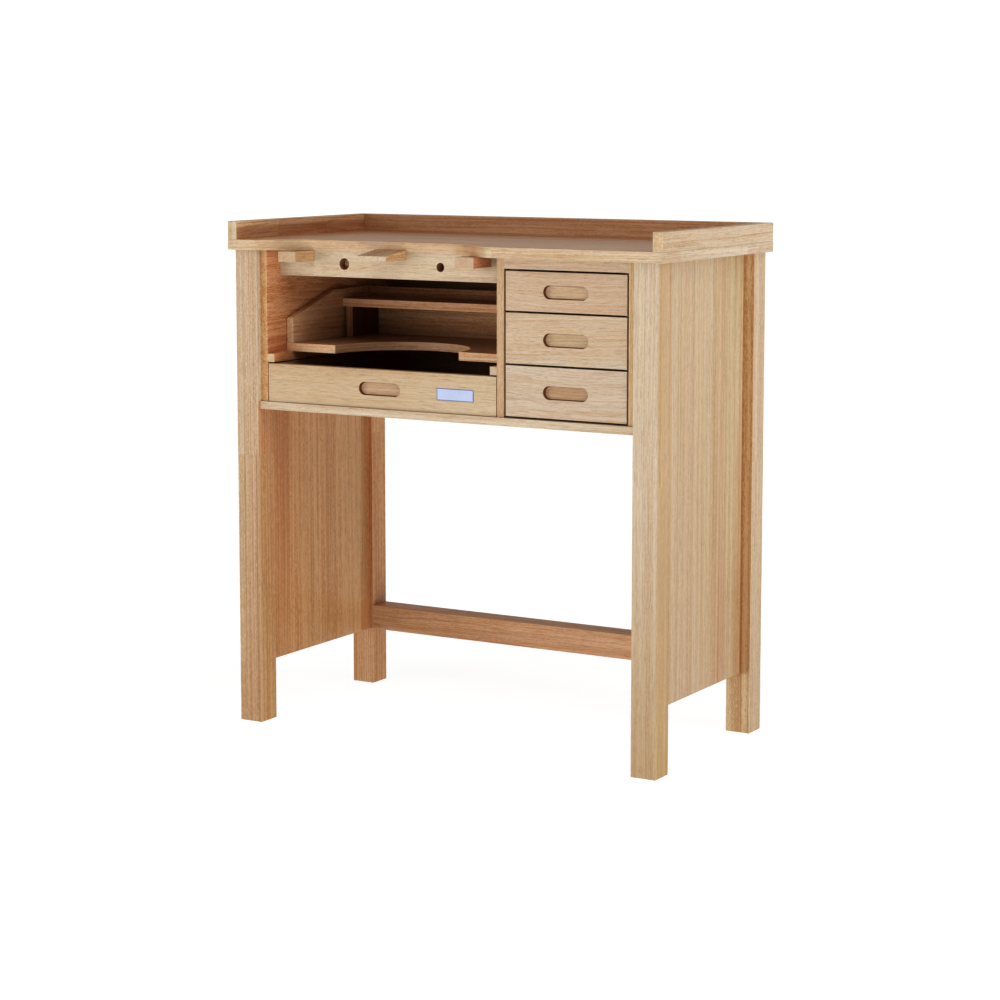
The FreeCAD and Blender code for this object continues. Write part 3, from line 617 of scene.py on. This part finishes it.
             ("z", -0.1000, 0.6200, 0.0700)))),
    "leg_front_right": dict(
        wave=0.002, drift=("z", 0.0, 0.55, (0.79, 0.67, 0.52)),
        joint=("z", 0.530, (0.99, 0.985, 0.98)), bands=(
            ("x", 0.4140, 0.4190, (1.00, 0.96, 0.94), 0.002),
            ("x", 0.4364, 0.4380, (1.05, 1.07, 1.09)),
            # painted highlight along the outer edge of the front face
            ("x", 0.4505, 0.4583, (1.02, 1.03, 1.05), 0.001),
            ("x", 0.4583, 0.4600, (0.98, 0.78, 0.47)),
            ("x", 0.4583, 0.4600, (1.10, 1.18, 1.24), 0.0004,
             ("z", -0.1000, 0.3000, 0.0800)),
            ("x", 0.4583, 0.4600, (1.08, 1.16, 1.22), 0.0004,
             ("z", -0.1000, 0.1400, 0.0600)))),
    "leg_rear_left": dict(
        wave=0.002, speck=1.3, drift=("z", 0.0, 0.40, (0.92, 0.98, 1.05)),
        joint=("z", 0.530, (0.96, 0.92, 0.90)), bands=(
            # painted shade on the front face above the bottom of the side panel
            ("y", 0.1700, 0.1790, (1.00, 0.73, 0.59), 0.0004,
             ("z", 0.1165, 0.9500, 0.0004), ("x", -0.4370, -0.4000, 0.0004)),
            ("x", -0.4600, -0.4370, (0.97, 1.05, 1.13), 0.0060,
             ("z", 0.1165, 0.9500, 0.0004)),
            ("y", 0.1700, 0.1790, (0.92, 0.79, 0.60), 0.0004,
             ("z", -0.1000, 0.1165, 0.0004)),
            ("x", -0.4600, -0.4515, (0.90, 0.76, 0.66), 0.0020,
             ("z", -0.1000, 0.1165, 0.0004)),
            # painted shade: the inner side face behind the front is redder
            ("x", -0.4093, -0.4070, (1.14, 0.95, 0.68), 0.0004,
             ("y", 0.1790, 0.2400, 0.0004)),
            ("x", -0.4093, -0.4070, (0.93, 0.92, 0.92), 0.0004,
             ("z", -0.1000, 0.1165, 0.0200)))),
    "leg_rear_right": dict(
        wave=0.002, speck=1.5, drift=("z", 0.0, 0.60, (0.88, 0.85, 0.82)),
        calm=(("x", 0.4580, 0.4600, 0.6),),
        joint=("z", 0.530, (0.99, 0.98, 0.97)), bands=(
            ("y", 0.1770, 0.1784, (0.95, 0.95, 0.86), 0.0004,
             ("z", -0.1000, 0.1165, 0.0004)),
            # painted shade on the front face above the bottom of the side panel
            ("y", 0.1770, 0.1784, (0.95, 0.82, 0.67), 0.0004,
             ("z", 0.1165, 0.9500, 0.0004)),
            ("y", 0.1770, 0.1784, (1.14, 1.22, 1.35), 0.0004,
             ("z", 0.8600, 0.9500, 0.0300)),
            # painted shade in the corner beside the side panel
            ("x", 0.4340, 0.4405, (0.88, 0.78, 0.68)),
            ("x", 0.4530, 0.4550, (0.90, 0.82, 0.74)))),
}


def brushed(name, colour, rough, seed, along="x"):
    """Satin metal with fine lines along one axis."""
    t = Tree(name)
    o = t.separate(t.node("ShaderNodeTexCoord").outputs["Object"])
    s = {"x": (60, 2600, 2600), "y": (2600, 60, 2600), "z": (2600, 2600, 60)}[along]
    p = t.combine(o[0], t.math("ADD", o[1], seed * 3.1), o[2])
    n = t.noise(p, s, 2.0, 0.6)
    m = t.noise(p, (45.0, 45.0, 45.0), 2.0)
    col = t.ramp(t.math("MULTIPLY_ADD", n, 0.5, t.math("MULTIPLY", m, 0.5)),
                 [(0.3, lin(*[int(q * 0.92) for q in colour])), (0.7, lin(*colour))])
    b = t.node("ShaderNodeBump")
    b.inputs["Strength"].default_value = 0.08
    b.inputs["Distance"].default_value = 0.0002
    t.put(b.inputs["Height"], n)
    r = t.spread(n, 0.3, 0.7, rough - 0.05, rough + 0.08)
    return t.finish(Base_Color=col, Roughness=r, Normal=b.outputs[0], Metallic=0.85)


# ----------------------------------------------------------- finish each node
def dress(obj, mats, width, segments=2):
    """Soften the edges of a board and give the softened edge the second material, if there is one: a
    lighter copy that paints a highlight on it.
    """
    obj.data.materials.clear()
    for m in mats:
        obj.data.materials.append(m)
    w = obj.modifiers.new("weld", "WELD")
    w.merge_threshold = 0.00002
    d = obj.modifiers.new("flats", "DECIMATE")
    d.decimate_type = "DISSOLVE"
    d.angle_limit = math.radians(0.5)
    d.use_dissolve_boundaries = False
    b = obj.modifiers.new("edges", "BEVEL")
    b.width = width
    b.segments = segments
    b.limit_method = "ANGLE"
    b.angle_limit = math.radians(40)
    b.harden_normals = False
    b.miter_outer = "MITER_ARC"
    b.use_clamp_overlap = True
    if len(mats) > 1:
        b.material = 1
    n = obj.modifiers.new("normals", "WEIGHTED_NORMAL")
    n.keep_sharp = False
    n.weight = 80
    for p in obj.data.polygons:
        p.use_smooth = True


seed = 3
for name in sorted(BOARDS):
    grain, across, base, stave, seg, figure, contrast, tint = BOARDS[name]
    kw = dict(base=base, seed=seed, stave=stave, seg=seg, figure=figure,
              contrast=contrast, tint=tint, **EXTRA.get(name, {}))
    if name[-5:] in ("_left", "right", "_back", "ottom") and "drawer_" in name:
        kw["raw"] = "all"
    body = wood("wood_" + name, grain, across, **kw)
    # the second copy is lighter and goes on the softened edges: a painted highlight
    soft = wood("edge_" + name, grain, across, edge=0.45, **kw)
    w = 0.0009
    if name.endswith("_front") or name in (
            "divider_panel", "case_panel_left", "case_panel_right",
            "drawer_top_rail", "bottom_board", "tray_board"):
        w = 0.0005
    if name.startswith("leg") or name in ("worktop", "gallery_left",
                                          "gallery_right", "gallery_back"):
        w = 0.0012
    if "dowel" in name or "peg" in name or "slips" in name:
        w = 0.0005
    dress(NODES[name], [body, soft], w)
    seed += 1


def plate(name, seed):
    """Satin enamelled plate, left blank, with a plain darker rim."""
    t = Tree(name)
    lo_p, hi_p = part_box("catch_drawer_plate")
    o = t.separate(t.node("ShaderNodeTexCoord").outputs["Object"])
    rim = 0.0
    for ax in (0, 2):
        d0 = t.math("SUBTRACT", o[ax], lo_p[ax] + 0.0016)
        d1 = t.math("SUBTRACT", hi_p[ax] - 0.0016, o[ax])
        e = t.spread(t.math("MINIMUM", d0, d1), -0.0002, 0.0002, 1.0, 0.0)
        rim = e if rim == 0.0 else t.math("MAXIMUM", rim, e)
    p = t.combine(o[0], o[1], o[2])
    n = t.noise(p, (900.0, 900.0, 60.0), 2.0, 0.6)
    m = t.noise(p, (40.0, 40.0, 40.0), 2.0, 0.5)
    v = t.math("MULTIPLY_ADD", n, 0.5, t.math("MULTIPLY", m, 0.5))
    field = t.ramp(v, [(0.3, (0.48, 0.54, 0.74, 1)), (0.7, (0.55, 0.61, 0.79, 1))])
    edge = t.ramp(v, [(0.3, (0.14, 0.17, 0.33, 1)), (0.7, (0.20, 0.24, 0.42, 1))])
    col = t.mix(rim, field, edge)
    b = t.node("ShaderNodeBump")
    b.inputs["Strength"].default_value = 0.1
    b.inputs["Distance"].default_value = 0.0002
    t.put(b.inputs["Height"], v)
    return t.finish(Base_Color=col, Roughness=t.spread(v, 0.3, 0.7, 0.34, 0.46),
                    Normal=b.outputs[0])


dress(NODES["guide_screws"], [brushed("zinc", (176, 178, 180), 0.34, 2, "z")], 0.0002)
dress(NODES["catch_drawer_plate"], [plate("plate", 5)], 0.0002)

# ---------------------------------------------------------------------- stage
def stage_object(name, verts, faces):
    """A mesh that only the camera sees, so it neither lights nor shades the bench."""
    mesh = bpy.data.meshes.new(name)
    mesh.from_pydata(verts, [], faces)
    obj = bpy.data.objects.new(name, mesh)
    scene.collection.objects.link(obj)
    obj.visible_diffuse = False
    obj.visible_glossy = False
    obj.visible_transmission = False
    obj.visible_volume_scatter = False
    obj.visible_shadow = False
    return obj


def make_floor(radius=7.0):
    """Pale matt floor, with the soft shade of the bench on it."""
    n = 96
    verts = [(0.0, 0.0, 0.0)]
    for k in range(n):
        an = 2 * math.pi * k / n
        verts.append((radius * math.cos(an), radius * math.sin(an), 0.0))
    obj = stage_object("floor", verts,
                       [(0, 1 + k, 1 + (k + 1) % n) for k in range(n)])
    t = Tree("floor")
    t.mat.cycles.emission_sampling = "NONE"
    pos = t.node("ShaderNodeTexCoord").outputs["Object"]
    away = t.node("ShaderNodeVectorMath", operation="LENGTH")
    t.put(away.inputs[0], pos)
    fade = t.spread(away.outputs["Value"], 1.2, radius * 0.9, 0.0, 1.0, smooth=True)
    p = t.node("ShaderNodeBsdfPrincipled")
    grit = t.noise(pos, (60.0, 60.0, 60.0), 3.0, 0.6)
    t.put(p.inputs["Base Color"], t.ramp(grit, [
        (0.3, (0.27, 0.28, 0.29, 1)), (0.7, (0.30, 0.31, 0.32, 1))]))
    p.inputs["Roughness"].default_value = 1.0
    p.inputs["Specular IOR Level"].default_value = 0.0
    p.inputs["Emission Color"].default_value = (1, 1, 1, 1)
    p.inputs["Emission Strength"].default_value = 0.89
    clear = t.node("ShaderNodeBsdfTransparent")
    mx = t.node("ShaderNodeMixShader")
    t.put(mx.inputs[0], fade)
    t.put(mx.inputs[1], p.outputs[0])
    t.put(mx.inputs[2], clear.outputs[0])
    out = t.node("ShaderNodeOutputMaterial")
    t.put(out.inputs[0], mx.outputs[0])
    obj.data.materials.append(t.mat)


def make_backdrop(radius=30.0):
    """White all round the studio."""
    rows, cols = 12, 24
    verts = [(0, 0, -radius), (0, 0, radius)]
    for i in range(1, rows):
        th = math.pi * i / rows
        for j in range(cols):
            ph = 2 * math.pi * j / cols
            verts.append((radius * math.sin(th) * math.cos(ph),
                          radius * math.sin(th) * math.sin(ph),
                          -radius * math.cos(th)))
    faces = []
    for j in range(cols):
        k = (j + 1) % cols
        faces.append((0, 2 + j, 2 + k))
        last = 2 + (rows - 2) * cols
        faces.append((1, last + k, last + j))
        for i in range(rows - 2):
            q = 2 + i * cols
            faces.append((q + j, q + cols + j, q + cols + k, q + k))
    obj = stage_object("backdrop", verts, faces)
    t = Tree("backdrop")
    t.mat.cycles.emission_sampling = "NONE"
    e = t.node("ShaderNodeEmission")
    e.inputs[0].default_value = (1, 1, 1, 1)
    e.inputs[1].default_value = 1.04
    out = t.node("ShaderNodeOutputMaterial")
    t.put(out.inputs[0], e.outputs[0])
    obj.data.materials.append(t.mat)


make_floor()
make_backdrop()

# Soft studio light: each lobe is (azimuth from the front towards +X,
# elevation, strength). Those below the horizon are the light off a white floor.
LOBES = [
    (-50, 0, 2.70), (-30, 0, 3.40), (-10, 0, 1.19), (12, -25, 2.39),
    (36, -25, 2.03), (60, -25, 1.99), (84, -25, 1.80), (100, -50, 1.71),
    (90, 0, 1.98), (84, 25, 1.94), (0, 50, 1.88), (36, 50, 1.52),
    (72, 50, 1.96), (170, 0, 3.88), (-156, 25, 1.26), (-90, -25, 2.80),
    (-100, 0, 1.60), (-135, -25, 2.40), (180, -25, 2.20),
]
SHARP = 24.0


def make_world():
    """The studio lamps and the light that the white room returns."""
    world = bpy.data.worlds.new("studio")
    scene.world = world
    world.use_nodes = True
    nt = world.node_tree
    nt.nodes.clear()

    def math_node(op, a, b):
        n = nt.nodes.new("ShaderNodeMath")
        n.operation = op
        for i, v in enumerate((a, b)):
            if isinstance(v, bpy.types.NodeSocket):
                nt.links.new(v, n.inputs[i])
            elif v is not None:
                n.inputs[i].default_value = v
        return n.outputs[0]

    way = nt.nodes.new("ShaderNodeTexCoord").outputs["Generated"]
    total = None
    for az, el, power in LOBES:
        a, e = math.radians(az), math.radians(el)
        dot = nt.nodes.new("ShaderNodeVectorMath")
        dot.operation = "DOT_PRODUCT"
        nt.links.new(way, dot.inputs[0])
        dot.inputs[1].default_value = (math.sin(a) * math.cos(e),
                                       -math.cos(a) * math.cos(e), math.sin(e))
        x = math_node("SUBTRACT", dot.outputs["Value"], 1.0)
        x = math_node("EXPONENT", math_node("MULTIPLY", x, SHARP), None)
        x = math_node("MULTIPLY", x, power)
        total = x if total is None else math_node("ADD", total, x)
    bg = nt.nodes.new("ShaderNodeBackground")
    bg.inputs[0].default_value = (1, 1, 1, 1)
    nt.links.new(total, bg.inputs[1])
    out = nt.nodes.new("ShaderNodeOutputWorld")
    nt.links.new(bg.outputs[0], out.inputs[0])


make_world()

scene.view_settings.view_transform = "Standard"
scene.view_settings.look = "None"
scene.view_settings.exposure = 0.0
scene.view_settings.gamma = 0.77
scene.cycles.diffuse_bounces = 2
